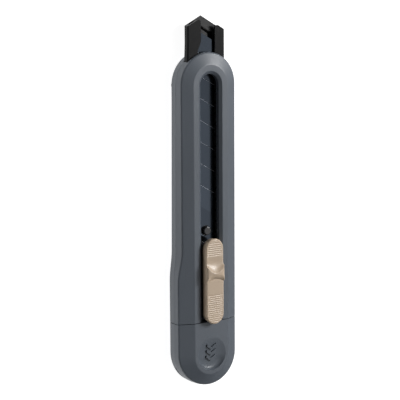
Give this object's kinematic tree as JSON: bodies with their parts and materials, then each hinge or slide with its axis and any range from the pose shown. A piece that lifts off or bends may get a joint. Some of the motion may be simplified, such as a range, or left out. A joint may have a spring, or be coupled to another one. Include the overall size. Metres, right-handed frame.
{
  "type": "utility knife",
  "caption": "Snap-off utility knife: flat rounded grey handle with a long slot, sliding blade in a black sheath, ribbed thumb slide and pull-off end cap.",
  "frame": {"origin": "centre of the handle's flat back face, which is also what the knife lies on", "axes": "+Y along the handle towards the blade's tip, +Z out of the front face with the thumb slide, +X away from the cutting edge"},
  "size_m": [0.032, 0.172, 0.0164],
  "materials": {
    "handle": "fine matte grey moulded plastic",
    "cap": "fine matte grey moulded plastic",
    "channel": "satin black",
    "blade": "polished black coated steel",
    "carrier": "black moulded plastic",
    "spring": "spring steel",
    "slide": "satin beige moulded plastic"
  },
  "bodies": {
    "body": {"front_shell": "handle", "back_shell": "handle", "blade_channel": "channel"},
    "cap": {"end_cap": "cap"},
    "carriage": {"blade": "blade", "blade_carrier": "carrier", "lock_spring": "spring"},
    "slide": {"thumb_slide": "slide"}
  },
  "joints": [
    {"name": "blade_slide", "type": "slide", "parent": "body", "child": "carriage", "axis": [0, 1, 0], "range_m": [0, 0.07], "deforming": ["lock_spring"]},
    {"name": "lock_release", "type": "slide", "parent": "carriage", "child": "slide", "axis": [0, 1, 0], "range_m": [-0.0008, 0.0008], "stiffness_N_per_m": 500},
    {"name": "cap_pull", "type": "slide", "parent": "body", "child": "cap", "axis": [0, -1, 0], "range_m": [0, 0.012]}
  ]
}
